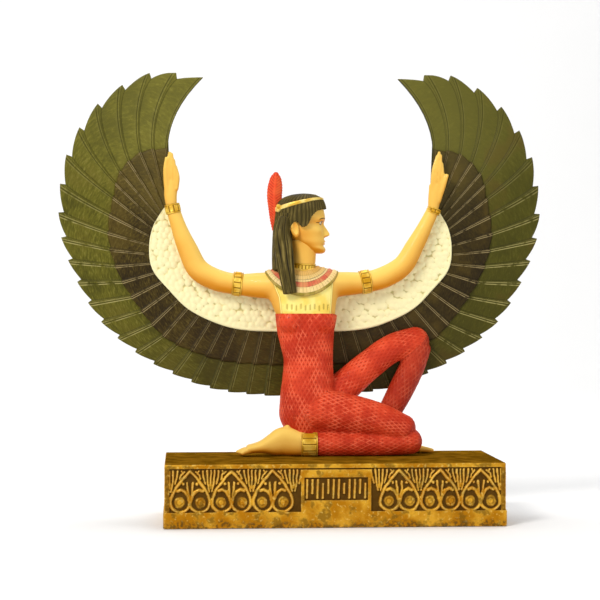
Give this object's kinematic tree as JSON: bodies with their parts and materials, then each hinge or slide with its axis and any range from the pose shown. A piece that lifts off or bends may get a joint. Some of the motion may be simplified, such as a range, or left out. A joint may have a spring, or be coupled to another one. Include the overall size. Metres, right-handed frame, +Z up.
{
  "type": "winged goddess figurine",
  "caption": "Kneeling winged goddess on an oblong plinth: head in profile, arms held out along two tall upswept wings, with a frieze of lotus hearts on the plinth.",
  "frame": {"origin": "middle of the plinth's flat underside", "axes": "+X towards the figure's raised knee, the way she looks, +Y from the carved front of the plinth to its back, +Z up"},
  "size_m": [0.2741, 0.076, 0.25],
  "materials": {
    "antique_gilt": "gilt over a dark wash",
    "painted_resin": "hand-painted, satin"
  },
  "bodies": {
    "root": {"plinth": "antique_gilt", "winged_isis": "painted_resin"}
  },
  "joints": []
}
